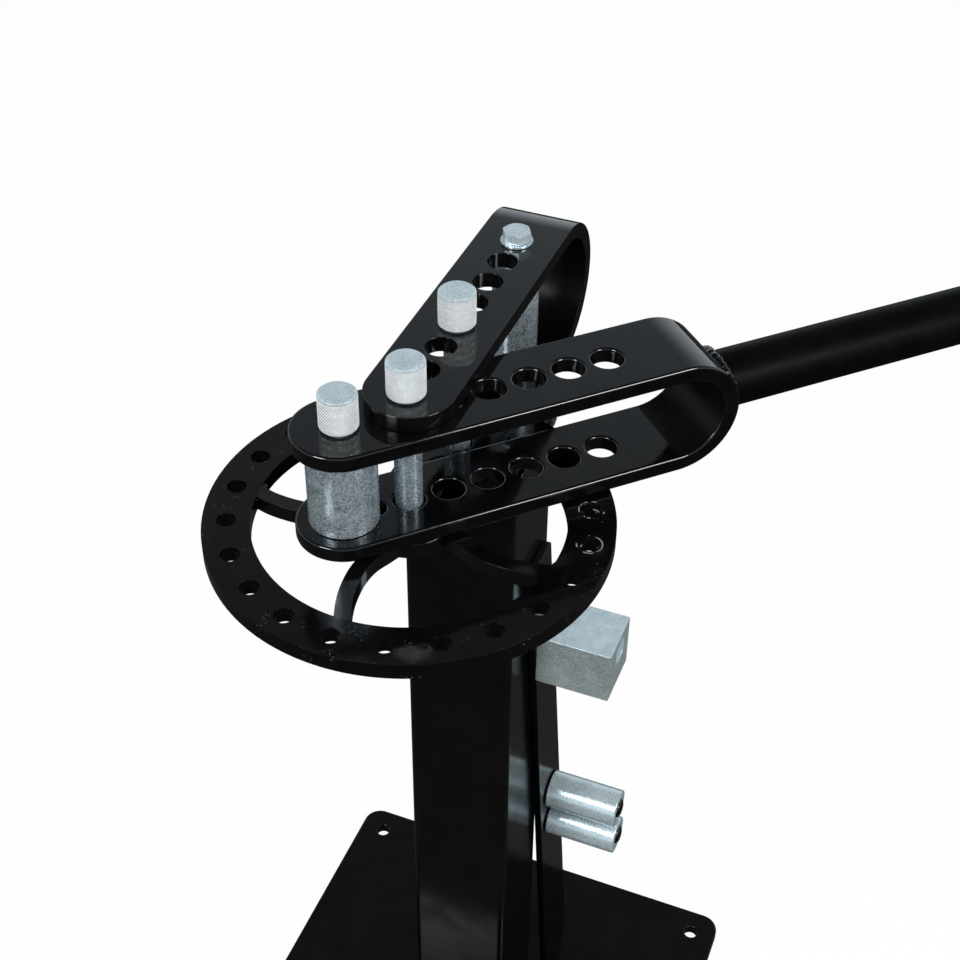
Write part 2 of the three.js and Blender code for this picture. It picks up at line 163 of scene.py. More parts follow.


# Thick gloss black enamel: soft orange peel, runs, dust nibs, spots worn to the metal, and light specks that
# are dust and painted glints of paint nibs
def makeEnamel(name, wornSpots=(), peel=1.0, specular=None, rough=None, dustGlintFrom=None):
    look = enamelLook
    material, tree, shader = newMaterial(name)
    coords = tree.nodes.new("ShaderNodeTexCoord").outputs["Object"]
    cloud = noiseOf(tree, coords, look["runScale"], 3)
    smooth, dull = rough or (look["smooth"], look["dull"])
    gloss = rampOf(tree, cloud, [(0.35, grey(smooth)), (0.7, grey(dull))])
    shader.inputs["Specular IOR Level"].default_value = look["specular"] if specular is None else specular
    tree.links.new(gloss, shader.inputs["Roughness"])
    base = rampOf(tree, cloud, [(0.3, look["color"]), (0.8, tuple(2.1 * c for c in look["color"]))])
    chips = noiseOf(tree, coords, look["chipScale"], 4, 0.7)
    worn = None
    for spot, inner, outer in wornSpots:
        ring = mathOf(tree, "SUBTRACT", distanceFrom(tree, coords, spot), (inner + outer) / 2)
        near = mathOf(tree, "ABSOLUTE", ring, 0)
        within = mathOf(tree, "LESS_THAN", near, (outer - inner) / 2)
        patch = mathOf(tree, "GREATER_THAN", chips, look["chipFrom"])
        spotMask = mathOf(tree, "MULTIPLY", within, patch)
        worn = spotMask if worn is None else mathOf(tree, "MAXIMUM", worn, spotMask)
    if worn is not None:
        base = mixColor(tree, worn, base, look["bareMetal"])
    nibs = addNode(tree, "ShaderNodeTexVoronoi", Scale=look["nibScale"])
    tree.links.new(coords, nibs.inputs["Vector"])
    nibHeight = rampOf(tree, nibs.outputs["Distance"], [(0.0, grey(1)), (look["nibReach"], grey(0))])
    rare = rampOf(tree, noiseOf(tree, coords, look["patchScale"], 2), [(0.58, grey(0)), (0.66, grey(1))])
    nibHeight = mathOf(tree, "MULTIPLY", nibHeight, rare)
    # light specks: dust and overspray, and painted glints where paint nibs would catch the light
    if dustGlintFrom:
        dustGlintNoise = noiseOf(tree, coords, look["nibScale"] * 2.4, 3, 0.7)
        dustGlintMask = mathOf(tree, "MULTIPLY", mathOf(tree, "GREATER_THAN", dustGlintNoise, dustGlintFrom), rare)
        base = mixColor(tree, dustGlintMask, base, look["dustGlint"])
    tree.links.new(base, shader.inputs["Base Color"])
    peelHeight = noiseOf(tree, coords, look["peelScale"], 2, 0.4)
    runHeight = noiseOf(tree, coords, look["runScale"], 2, 0.5)
    normal = bumpOf(tree, runHeight, 0.25 * peel, 0.6 * mm)
    normal = bumpOf(tree, peelHeight, 0.09 * peel, 0.25 * mm, normal)
    normal = bumpOf(tree, nibHeight, 0.6, 0.3 * mm, normal)
    tree.links.new(normal, shader.inputs["Normal"])
    return material


# Zinc plate, mottled blue-grey with bright flecks; the square die's two looks and the knurl's look are
# painted light
zincLooks = {
    "rolled": {
        "dark": (0.16, 0.23, 0.29), "mid": (0.47, 0.6, 0.69), "light": (0.82, 0.92, 0.98),
        "fleck": (0.98, 1.0, 1.0), "fleckFrom": 0.56, "grain": 620, "cloud": 130, "cloudShare": 0.35,
        "metallic": 0.78, "rough": (0.17, 0.32), "bump": 0.4,
    },
    # painted light: a lit copy of the die's zinc, for the square die's upper face and its bore
    "paintedLitFace": {
        "dark": (0.44, 0.56, 0.62), "mid": (0.54, 0.67, 0.73), "light": (0.64, 0.76, 0.82),
        "fleck": (0.9, 0.95, 0.97), "fleckFrom": 0.72, "grain": 500, "cloud": 90, "cloudShare": 0.6,
        "metallic": 0.35, "rough": (0.3, 0.45), "bump": 0.15,
    },
    "head": {
        "dark": (0.38, 0.46, 0.5), "mid": (0.45, 0.54, 0.58), "light": (0.53, 0.62, 0.66),
        "fleck": (0.8, 0.86, 0.89), "fleckFrom": 0.74, "grain": 500, "cloud": 90, "cloudShare": 0.6,
        "metallic": 0.4, "rough": (0.25, 0.4), "bump": 0.12,
    },
    # painted highlight: the knurl's zinc is painted near white, lighter than the head's top, for the knurl
    # catching the light
    "knurl": {
        "dark": (0.82, 0.88, 0.91), "mid": (0.92, 0.96, 0.98), "light": (0.97, 0.99, 1.0),
        "fleck": (0.98, 0.99, 1.0), "fleckFrom": 0.74, "grain": 500, "cloud": 90, "cloudShare": 0.6,
        "metallic": 0.3, "rough": (0.2, 0.32), "bump": 0.1,
    },
    # painted shade: a darker copy of the same zinc, for the square die's sides
    "paintedShadeSide": {
        "dark": (0.24, 0.29, 0.29), "mid": (0.31, 0.37, 0.37), "light": (0.4, 0.47, 0.47),
        "fleck": (0.88, 0.93, 0.94), "fleckFrom": 0.62, "grain": 620, "cloud": 60, "cloudShare": 0.5,
        "metallic": 0.5, "rough": (0.36, 0.5), "bump": 0.15,
    },
    "round": {
        "dark": (0.42, 0.52, 0.56), "mid": (0.52, 0.63, 0.67), "light": (0.62, 0.73, 0.77),
        "fleck": (0.9, 0.95, 0.97), "fleckFrom": 0.68, "grain": 420, "cloud": 80, "cloudShare": 0.45,
        "metallic": 0.5, "rough": (0.22, 0.32), "bump": 0.15,
    },
}


def makeZinc(name, look, knurled=False):
    material, tree, shader = newMaterial(name)
    coords = tree.nodes.new("ShaderNodeTexCoord").outputs["Object"]
    shader.inputs["Metallic"].default_value = look["metallic"]
    fine = noiseOf(tree, coords, look["grain"], 3, 0.6)
    cloud = noiseOf(tree, coords, look["cloud"], 4, 0.6)
    share = look["cloudShare"]
    finePart = mathOf(tree, "MULTIPLY", fine, 1 - share)
    cloudPart = mathOf(tree, "MULTIPLY", cloud, share)
    blend = mathOf(tree, "ADD", finePart, cloudPart)
    color = rampOf(tree, blend, [(0.36, look["dark"]), (0.5, look["mid"]), (0.64, look["light"])])
    flecks = noiseOf(tree, coords, look["grain"] * 1.7, 2, 0.5)
    flecked = rampOf(tree, flecks, [(look["fleckFrom"], grey(0)), (look["fleckFrom"] + 0.06, grey(1))])
    color = mixColor(tree, flecked, color, look["fleck"])
    # painted shade: the knurl's grooves, where the ridge attribute is low, are painted darker
    if knurled:
        ridge = tree.nodes.new("ShaderNodeAttribute")
        ridge.attribute_name = "ridge"
        height = rampOf(tree, ridge.outputs["Fac"], [(0.08, grey(0)), (0.42, grey(1))])
        color = mixColor(tree, height, tuple(0.2 * c for c in look["dark"]), color)
    tree.links.new(color, shader.inputs["Base Color"])
    roughness = rampOf(tree, fine, [(0.35, grey(look["rough"][0])), (0.7, grey(look["rough"][1]))])
    tree.links.new(roughness, shader.inputs["Roughness"])
    normal = bumpOf(tree, fine, look["bump"], 0.12 * mm)
    normal = bumpOf(tree, cloud, 0.1, 0.4 * mm, normal)
    tree.links.new(normal, shader.inputs["Normal"])
    return material


# Ribbed grip rubber and cap plastic
def makeSoftBlack(name, color, rough, scale):
    material, tree, shader = newMaterial(name)
    coords = tree.nodes.new("ShaderNodeTexCoord").outputs["Object"]
    grain = noiseOf(tree, coords, scale, 4, 0.6)
    dust = rampOf(tree, grain, [(0.35, color), (0.75, tuple(2.2 * c for c in color))])
    tree.links.new(dust, shader.inputs["Base Color"])
    roughness = rampOf(tree, grain, [(0.3, grey(rough)), (0.8, grey(min(1, rough + 0.2)))])
    tree.links.new(roughness, shader.inputs["Roughness"])
    tree.links.new(bumpOf(tree, grain, 0.25, 0.2 * mm), shader.inputs["Normal"])
    return material


ringHoles = {"circle": 124.4, "hole": 13.7, "divisions": 22}
holeStep = 2 * math.pi / ringHoles["divisions"]


def ringHoleSpot(index):
    angle = math.pi / 2 + index * holeStep
    radius = ringHoles["circle"] * mm
    return Vector((radius * math.cos(angle), radius * math.sin(angle), pivotZ))


wornHoles = {"indices": [17, 18], "inner": 8.3, "outer": 9.2}
wornSpots = [
    (ringHoleSpot(index), wornHoles["inner"] * mm, wornHoles["outer"] * mm) for index in wornHoles["indices"]
]
enamel = makeEnamel("blackEnamel")
bendEnamel = makeEnamel("bendEnamel", specular=0.1, rough=(0.3, 0.4))
ringEnamel = makeEnamel("ringEnamel", wornSpots, specular=0.28, dustGlintFrom=0.66)
tubeEnamel = makeEnamel("tubeEnamel", peel=0.6, specular=0.03, rough=(0.38, 0.46))
postEnamel = makeEnamel("postEnamel", peel=0.4, specular=0.4, rough=(0.12, 0.24))
weldEnamel = makeEnamel("weldEnamel", peel=2.0)
zinc = makeZinc("zincPlate", zincLooks["rolled"])
zincPaintedLit = makeZinc("zincPaintedLit", zincLooks["paintedLitFace"])
zincHead = makeZinc("zincHead", zincLooks["head"])
zincKnurlPaintedLit = makeZinc("zincKnurlPaintedLit", zincLooks["knurl"], knurled=True)
zincPaintedShade = makeZinc("zincPaintedShade", zincLooks["paintedShadeSide"])
zincRound = makeZinc("zincRound", zincLooks["round"])
gripRubber = makeSoftBlack("gripRubber", (0.011, 0.011, 0.012), 0.6, 380)
capPlastic = makeSoftBlack("capPlastic", (0.014, 0.014, 0.015), 0.45, 240)
print("materials made")


# Turns a bmesh into a finished piece: placed in its mesh, bevelled, and riding on its body
def addPiece(name, bm, material, body, nodes, place=None, bevel=None, segments=3, angle=32):
    if place is not None:
        bmesh.ops.transform(bm, matrix=place, verts=bm.verts)
    bmesh.ops.remove_doubles(bm, verts=bm.verts, dist=0.001 * mm)
    bmesh.ops.recalc_face_normals(bm, faces=bm.faces)
    mesh = bpy.data.meshes.new(name)
    bm.to_mesh(mesh)
    bm.free()
    piece = bpy.data.objects.new(name, mesh)
    bpy.context.scene.collection.objects.link(piece)
    if bevel:
        edge = piece.modifiers.new("edge", "BEVEL")
        edge.width = bevel * mm
        edge.segments = segments
        edge.limit_method = "ANGLE"
        edge.angle_limit = math.radians(angle)
        edge.profile = 0.5
        edge.miter_outer = "MITER_ARC"
        bakeModifiers(piece)
    piece.data.shade_smooth()
    piece.data.set_sharp_from_angle(angle=math.radians(angle + 6))
    weighted = piece.modifiers.new("weighted", "WEIGHTED_NORMAL")
    weighted.keep_sharp = True
    weighted.weight = 80
    bakeModifiers(piece)
    piece.data.materials.clear()
    piece.data.materials.append(material)
    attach(piece, body)
    if nodes:
        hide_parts(*nodes)
    return piece


def bakeModifiers(piece):
    graph = bpy.context.evaluated_depsgraph_get()
    done = bpy.data.meshes.new_from_object(piece.evaluated_get(graph))
    old = piece.data
    piece.modifiers.clear()
    piece.data = done
    bpy.data.meshes.remove(old)


# A flat outline pushed up into a prism
def prism(points, bottom, top, bm=None):
    bm = bm or bmesh.new()
    corners = [bm.verts.new((x, y, bottom)) for x, y in points]
    face = bm.faces.new(corners)
    grown = bmesh.ops.extrude_face_region(bm, geom=[face])
    moved = [item for item in grown["geom"] if isinstance(item, bmesh.types.BMVert)]
    bmesh.ops.translate(bm, vec=(0, 0, top - bottom), verts=moved)
    return bm


def arcPoints(cx, cy, radius, start, end, steps):
    turns = [start + (end - start) * k / steps for k in range(steps + 1)]
    return [(cx + radius * math.cos(t), cy + radius * math.sin(t)) for t in turns]


def addRod(bm, x, y, radius, bottom, top, steps=40):
    made = bmesh.ops.create_cone(
        bm, cap_ends=True, segments=steps, radius1=radius, radius2=radius, depth=top - bottom
    )
    bmesh.ops.translate(bm, vec=(x, y, (top + bottom) / 2), verts=made["verts"])
    return bm


# Cuts or keeps one bmesh with another
def carve(bm, cutter, operation="DIFFERENCE"):
    objects = []
    for source in (bm, cutter):
        bmesh.ops.recalc_face_normals(source, faces=source.faces)
        mesh = bpy.data.meshes.new("carving")
        source.to_mesh(mesh)
        source.free()
        objects.append(bpy.data.objects.new("carving", mesh))
        bpy.context.scene.collection.objects.link(objects[-1])
    body, tool = objects
    cut = body.modifiers.new("cut", "BOOLEAN")
    cut.operation = operation
    cut.solver = "EXACT"
    cut.object = tool
    bakeModifiers(body)
    result = bmesh.new()
    result.from_mesh(body.data)
    for item in objects:
        bpy.data.objects.remove(item)
    bmesh.ops.dissolve_limit(result, angle_limit=math.radians(0.2), verts=result.verts, edges=result.edges)
    return result


# A turned shape from radius and height pairs
def lathe(profile, steps=64, bm=None):
    bm = bm or bmesh.new()
    points = [bm.verts.new((r * mm, 0, z * mm)) for r, z in profile]
    edges = [bm.edges.new((a, b)) for a, b in zip(points, points[1:])]
    bmesh.ops.spin(
        bm,
        geom=points + edges,
        cent=(0, 0, 0),
        axis=(0, 0, 1),
        angle=2 * math.pi,
        steps=steps,
        use_merge=True,
        use_duplicate=False,
    )
    bmesh.ops.remove_doubles(bm, verts=bm.verts, dist=0.0005 * mm)
    return bm


# A rounded corner in a lathe profile
def roundCorner(r, z, size, quarter, steps=3):
    start = {"lowerOuter": -math.pi / 2, "upperOuter": 0}[quarter]
    centre = {"lowerOuter": (r - size, z + size), "upperOuter": (r - size, z - size)}[quarter]
    turns = [start + math.pi / 2 * k / steps for k in range(steps + 1)]
    return [(centre[0] + size * math.cos(t), centre[1] + size * math.sin(t)) for t in turns]


# Bent bars
bentThick = 12
armSizes = {"width": 66, "bendCentre": 190}
bentBars = {
    "fixed_frame": {
        "thick": bentThick,
        "pitch": 28.5,
        "lowerEnd": 0,
        "upperEnd": 6,
        "pinHole": 22,
        "pins": [0, 1, 2, 3, 4, 5, 6],
        "others": [(7, 13)],
        "lowerHoles": [],
        "edge": 2.3,
    },
    "swing_arm": {
        "thick": bentThick,
        "pitch": 29,
        "lowerEnd": -46.4,
        "upperEnd": -46.4,
        "pinHole": 22,
        "pins": [-1.6, 0, 1, 2, 3, 4, 5],
        "others": [],
        "lowerHoles": [(-24, 14)],
        "edge": 2.3,
    },
}
barSteps = {"bend": 44, "end": 40, "hole": 44, "overrun": 5}


# Round-ended leg outline along X
def legOutline(end, far, half):
    nose = arcPoints(end, 0, half, math.pi / 2, 1.5 * math.pi, barSteps["end"])
    return [(far, half)] + nose + [(far, -half)]


# What lies in front of a leg's round end
def noseOutline(end, front, half):
    wide = half + barSteps["overrun"] * mm
    return arcPoints(end, 0, half, math.pi / 2, 1.5 * math.pi, barSteps["end"]) + [
        (end, -wide), (front, -wide), (front, wide), (end, wide),
    ]


def bentBar(node, width, bendCentre, height, bottom):
    bar = bentBars[node]
    thick = bar["thick"] * mm
    outer = height / 2
    inner = outer - thick
    mid = bottom + outer
    half = width / 2
    over = barSteps["overrun"] * mm
    front = min(bar["lowerEnd"], bar["upperEnd"]) * mm - width
    bend = barSteps["bend"]
    outline = [(front, mid - outer)]
    outline += arcPoints(bendCentre, mid, outer, -math.pi / 2, math.pi / 2, bend)
    outline += [(front, mid + outer), (front, mid + inner)]
    outline += arcPoints(bendCentre, mid, inner, math.pi / 2, -math.pi / 2, bend)
    outline += [(front, mid - inner)]
    bm = prism(outline, -half, half)
    bmesh.ops.transform(bm, matrix=Matrix.Rotation(math.pi / 2, 4, "X"), verts=bm.verts)
    far = bendCentre + outer + over
    keep = prism(legOutline(bar["lowerEnd"] * mm, far, half), mid - outer - over, mid + outer + over)
    bm = carve(bm, keep, "INTERSECT")
    if bar["upperEnd"] != bar["lowerEnd"]:
        bm = carve(bm, prism(noseOutline(bar["upperEnd"] * mm, front, half), mid, mid + outer + over))
    drill = bmesh.new()
    holes = [(index, bar["pinHole"]) for index in bar["pins"]] + bar["others"]
    for index, size in holes:
        addRod(drill, index * bar["pitch"] * mm, 0, size / 2 * mm, mid - outer - over, mid + outer + over, 44)
    for along, size in bar["lowerHoles"]:
        addRod(drill, along * mm, 0, size / 2 * mm, mid - outer - over, mid, 32)
    return carve(bm, drill)


# The inside of a bend is duller than the rest
def paintBend(piece, place, centre, mid, inner):
    piece.data.materials.append(bendEnamel)
    back = place.inverted()
    for face in piece.data.polygons:
        spot = back @ face.center
        if spot.x > centre - 0.5 * mm and math.hypot(spot.x - centre, spot.z - mid) < inner + 0.5 * mm:
            face.material_index = 1


def buildBars():
    for name, node, body, place in (
        ("frameBar", "fixed_frame", "stand", barPlace), ("armBar", "swing_arm", "arm", armPlace),
    ):
        low, high = nodeBox(node)
        outer = (high.z - low.z) / 2
        mid = low.z + outer - pivotZ
        width = high.x - low.x if node == "fixed_frame" else armSizes["width"] * mm
        centre = high.y - outer if node == "fixed_frame" else armSizes["bendCentre"] * mm
        bm = bentBar(node, width, centre, 2 * outer, low.z - pivotZ)
        piece = addPiece(name, bm, enamel, body, [node], place, bentBars[node]["edge"])
        paintBend(piece, place, centre, mid, outer - bentThick * mm)


buildBars()
print("bars bent and drilled")


# Index ring with its curved struts
ringSizes = {"inner": 108, "outer": 141, "thick": 12, "slot": 31.3, "edge": 1.5, "steps": 150}
strutShares = {
    "side": [(1.01, -0.14), (0.885, -0.175), (0.722, -0.185), (0.556, -0.162), (0.37, -0.074), (0.24, -0.02)],
    "front": [
        (0.008, -1.01), (-0.045, -0.87), (-0.077, -0.741), (-0.092, -0.583),
        (-0.074, -0.444), (-0.028, -0.333), (0.01, -0.24),
    ],
}
strutSizes = {"width": 11, "edge": 1.6, "steps": 30}


def buildRing():
    size = ringSizes
    inner = size["inner"] * mm
    outer = size["outer"] * mm
    slot = size["slot"] * mm
    innerTurn = math.acos(slot / inner)
    outerTurn = math.acos(slot / outer)
    steps = size["steps"]
    outline = arcPoints(0, 0, outer, math.pi - outerTurn, 2 * math.pi + outerTurn, steps)
    outline += arcPoints(0, 0, inner, innerTurn, -math.pi - innerTurn, steps)
    bm = prism(outline, -size["thick"] * mm, 0)
    drill = bmesh.new()
    thick = size["thick"] * mm
    for index in range(2, ringHoles["divisions"] - 1):
        spot = ringHoleSpot(index)
        addRod(drill, spot.x, spot.y, ringHoles["hole"] / 2 * mm, -2 * thick, thick, 32)
    bm = carve(bm, drill)
    addPiece("indexRing", bm, ringEnamel, "stand", ["index_ring"], ringPlace, size["edge"])


# Smooth points through a list of places
def smoothLine(points, steps):
    line = []
    ends = [points[0]] + points + [points[-1]]
    for k in range(1, len(ends) - 2):
        p0, p1, p2, p3 = ends[k - 1 : k + 3]
        for j in range(steps):
            t = j / steps
            line.append(
                0.5
                * (
                    2 * p1
                    + (p2 - p0) * t
                    + (2 * p0 - 5 * p1 + 4 * p2 - p3) * t * t
                    + (3 * p1 - p0 - 3 * p2 + p3) * t * t * t
                )
            )
    line.append(points[-1])
    return line


def buildStrut(name, node, shares):
    inner = ringSizes["inner"] * mm
    centre = smoothLine([Vector((x, y)) * inner for x, y in shares], 6)
    half = strutSizes["width"] / 2 * mm
    left = []
    right = []
    for k, point in enumerate(centre):
        ahead = centre[min(k + 1, len(centre) - 1)] - centre[max(k - 1, 0)]
        side = Vector((-ahead.y, ahead.x)).normalized() * half
        left.append(point + side)
        right.append(point - side)
    outline = [tuple(p) for p in left] + [tuple(p) for p in reversed(right)]
    bm = prism(outline, -(ringSizes["thick"] - 0.2) * mm, -0.2 * mm)
    keep = prism(arcPoints(0, 0, inner + 0.2 * mm, 0, 2 * math.pi, 120)[:-1], -20 * mm, 20 * mm)
    bm = carve(bm, keep, "INTERSECT")
    leg = legOutline(0, ringSizes["outer"] * mm, nodeBox("fixed_frame")[1].x)
    tool = prism(leg, -20 * mm, 20 * mm)
    bmesh.ops.transform(tool, matrix=Matrix.Rotation(math.pi / 2, 4, "Z"), verts=tool.verts)
    bm = carve(bm, tool)
    addPiece(name, bm, enamel, "stand", [node], ringPlace, strutSizes["edge"], 4)


buildRing()
buildStrut("strutRight", "ring_strut_right", strutShares["side"])
buildStrut("strutLeft", "ring_strut_left", [(-x, y) for x, y in strutShares["side"]])
buildStrut("strutFront", "ring_strut_front", strutShares["front"])
print("ring and struts made")


# Loose pins with diamond knurls
pinSizes = {
    "head": 26.5, "headHeight": 27.3, "shaft": 19, "chamfer": 1.6, "knurlStart": 2.2,
    "starts": 48, "depth": 0.5, "pitch": 2.2, "turns": 288, "rows": 66, "tip": 1.5, "shaftEnds": 2.5,
}


def buildPin(name, node, body):
    size = pinSizes
    low, high = nodeBox(node)
    spot = middle(node)
    top = (high.z - low.z) / mm
    head = size["head"] / 2
    shaft = size["shaft"] / 2
    under = top - size["headHeight"]
    bottomKnurl = under + size["knurlStart"]
    topKnurl = top - size["knurlStart"]
    rows = [bottomKnurl + (topKnurl - bottomKnurl) * k / size["rows"] for k in range(size["rows"] + 1)]
    profile = [(0, 0), (shaft - size["tip"], 0), (shaft, size["tip"]), (shaft, under)]
    profile += [(head - size["chamfer"], under), (head - 0.3, under + size["chamfer"])]
    profile += [(head, z) for z in rows]
    profile += [(head - 0.3, top - size["chamfer"] * 0.9), (head - size["chamfer"], top - 0.25)]
    profile += [(head - size["chamfer"] - 0.5, top), (head * 0.5, top), (0, top)]
    bm = lathe(profile, size["turns"])
    ridges = bm.verts.layers.float.new("ridge")
    for vert in bm.verts:
        vert[ridges] = 1
        radius = math.hypot(vert.co.x, vert.co.y) / mm
        z = vert.co.z / mm
        if radius < head - 0.1 or z < bottomKnurl - 0.01 or z > topKnurl + 0.01:
            continue
        around = math.atan2(vert.co.y, vert.co.x) / (2 * math.pi) * size["starts"]
        climb = z / size["pitch"]
        ridge = min(1 - abs(2 * ((around + climb) % 1) - 1), 1 - abs(2 * ((around - climb) % 1) - 1))
        vert[ridges] = ridge
        scale = 1 - size["depth"] * (1 - ridge) / head
        vert.co.x *= scale
        vert.co.y *= scale
    place = Matrix.Translation((spot.x, spot.y, low.z))
    piece = addPiece(name, bm, zinc, body, [node], place, angle=24)
    piece.data.materials.append(zincKnurlPaintedLit)
    piece.data.materials.append(zincHead)
    paintHead(piece, low.z + bottomKnurl * mm, low.z + topKnurl * mm, (head - 0.6) * mm, spot)
    return piece


# The head is brighter than the shaft, and its side is knurled; the knurled band is painted near white as a
# painted highlight, with its grooves painted darker as painted shade
def paintHead(piece, bottomKnurl, topKnurl, knurlRadius, spot):
    for face in piece.data.polygons:
        centre = face.center
        away = math.hypot(centre.x - spot.x, centre.y - spot.y)
        if centre.z < bottomKnurl - pinSizes["shaftEnds"] * mm:
            continue
        inBand = bottomKnurl - 0.1 * mm < centre.z < topKnurl + 0.1 * mm
        face.material_index = 1 if inBand and away > knurlRadius else 2


buildPin("pivotPin", "pivot_pin", "pivot_pin")
buildPin("anchorPin", "anchor_pin", "anchor_pin")
buildPin("rollerPin", "roller_pin", "roller_pin")
print("pins knurled")


# Roller, spacer, washers and dies are all turned sleeves
def sleeveProfile(outer, inner, length, edge):
    profile = [(inner + edge / 2, 0), (outer - edge, 0)]
    profile += roundCorner(outer, 0, edge, "lowerOuter")
    profile += roundCorner(outer, length, edge, "upperOuter")
    profile += [(inner + edge / 2, length), (inner, length - edge / 2)]
    profile += [(inner, edge / 2), (inner + edge / 2, 0)]
    return profile


sleeves = {
    "roller": ("rollerSleeve", "roller", {"bore": 20, "outer": 47.6, "edge": 1.0, "axis": "Z"}),
    "frame_spacer": ("frameSpacer", "stand", {"bore": 13, "outer": 35, "edge": 0.8, "axis": "Z"}),
    "frame_washer_top": ("topWasher", "stand", {"bore": 13, "outer": 24, "edge": 0.4, "axis": "Z"}),
    "frame_washer_bottom": ("bottomWasher", "stand", {"bore": 13, "outer": 24, "edge": 0.4, "axis": "Z"}),
    "pivot_washer": ("pivotWasher", "stand", {"bore": 20, "outer": 34, "edge": 0.3, "axis": "Z"}),
    "round_die_upper": ("upperDie", "round_die_upper", {"bore": 20, "outer": 35, "edge": 0.9, "axis": "X"}),
    "round_die_lower": ("lowerDie", "round_die_lower", {"bore": 20, "outer": 35, "edge": 0.9, "axis": "X"}),
}


def buildSleeve(node):
    name, body, size = sleeves[node]
    low, high = nodeBox(node)
    spot = middle(node)
    alongX = size["axis"] == "X"
    length = (high.x - low.x if alongX else high.z - low.z) / mm
    bm = lathe(sleeveProfile(size["outer"] / 2, size["bore"] / 2, length, size["edge"]), 96)
    if alongX:
        place = Matrix.Translation((low.x, spot.y, spot.z)) @ Matrix.Rotation(math.pi / 2, 4, "Y")
    else:
        place = Matrix.Translation((spot.x, spot.y, low.z))
    material = zincRound if alongX else zinc
    addPiece(name, bm, material, body, [node], place)


for sleeveNode in sleeves:
    buildSleeve(sleeveNode)


# The bore sits off the middle. The bore and the upper face are painted lighter than the sides: painted light,
# with the upper face lit, the bore a painted highlight and the sides in painted shade
squareDie = {"bore": 22, "rise": 8.8, "shift": 2, "edge": 0.9, "steps": 48}


def buildSquareDie():
    low, high = nodeBox("square_die")
    length = high.x - low.x
    half = (high.y - low.y) / 2
    bm = prism([(-half, -half), (half, -half), (half, half), (-half, half)], 0, length)
    bore = squareDie["bore"] / 2 * mm
    rise = squareDie["rise"] * mm
    shift = squareDie["shift"] * mm
    drill = addRod(bmesh.new(), -rise, shift, bore, -length, 2 * length, squareDie["steps"])
    bm = carve(bm, drill)
    spot = middle("square_die")
    place = Matrix.Translation((low.x, spot.y, spot.z)) @ Matrix.Rotation(math.pi / 2, 4, "Y")
    edge = squareDie["edge"]
    piece = addPiece("squareDie", bm, zincPaintedShade, "square_die", ["square_die"], place, edge)
    piece.data.materials.append(zincPaintedLit)
    # painted light: the bore and the upper face take the lit zinc, and the sides keep the painted shade
    for face in piece.data.polygons:
        above = face.center.z - spot.z - rise
        behind = face.center.y - spot.y - shift
        inBore = abs(face.normal.x) < 0.5 and math.hypot(above, behind) < bore + 0.2 * mm
        onTop = face.normal.z > 0.6 and face.center.z > high.z - 1.5 * mm
        if inBore or onTop:
            face.material_index = 1


buildSquareDie()
print("dies and sleeves turned")


# Cross bolt and nut
boltSizes = {"across": 19, "shank": 12, "gap": 0.3, "coneSlope": 28}


def hexagonPoints(across):
    corner = across / math.sqrt(3) * mm
    return [(corner * math.cos(k * math.pi / 3), corner * math.sin(k * math.pi / 3)) for k in range(6)]


# A hexagon whose corners are turned down by a cone at each chamfered end
def hexagonBlank(height, chamferTop, chamferBottom):
    across = boltSizes["across"]
    bm = prism(hexagonPoints(across), 0, height * mm)
    corner = across / math.sqrt(3) + 0.4
    face = across / 2 - 0.3
    drop = (corner - face) * math.tan(math.radians(boltSizes["coneSlope"]))
    profile = [(0, -0.2)]
    profile += [(face, -0.2), (corner, drop)] if chamferBottom else [(corner, -0.2)]
    profile += [(corner, height - drop), (face, height + 0.01)] if chamferTop else [(corner, height + 0.2)]
    profile += [(0, height + 0.01)]
    return carve(bm, lathe(profile, 64), "INTERSECT")


def buildBolt():
    low, high = nodeBox("frame_bolt")
    spot = middle("frame_bolt")
    washerTop = nodeBox("frame_washer_top")[1].z
    gap = boltSizes["gap"]
    height = (high.z - washerTop) / mm - gap
    bm = hexagonBlank(height, True, False)
    bmesh.ops.translate(bm, vec=(0, 0, washerTop + gap * mm - low.z), verts=bm.verts)
    shank = boltSizes["shank"] / 2
    shankTop = (washerTop - low.z) / mm + 1
    lathe([(0, 0), (shank - 1, 0), (shank, 1), (shank, shankTop), (0, shankTop)], 48, bm)
    place = Matrix.Translation((spot.x, spot.y, low.z))
    addPiece("frameBolt", bm, zincHead, "stand", ["frame_bolt"], place)
    low, high = nodeBox("frame_nut")
    bm = hexagonBlank((high.z - low.z) / mm, True, True)
    drill = addRod(bmesh.new(), 0, 0, (shank + gap) * mm, -0.05, 0.05, 40)
    bm = carve(bm, drill)
    place = Matrix.Translation((spot.x, spot.y, low.z))
    addPiece("frameNut", bm, zinc, "stand", ["frame_nut"], place)


buildBolt()
print("cross bolt made")


# Handle
handleSizes = {"tube": 42.2, "wall": 3.2, "steps": 72, "bead": 4.2, "beadSteps": 150}


# Distance along the arm where the tube meets the bend, for a height off the tube's axis
def bendFace(offset):
    low, high = nodeBox("swing_arm")
    outer = (high.z - low.z) / 2
    return armSizes["bendCentre"] * mm + math.sqrt(max(0, outer * outer - offset * offset))


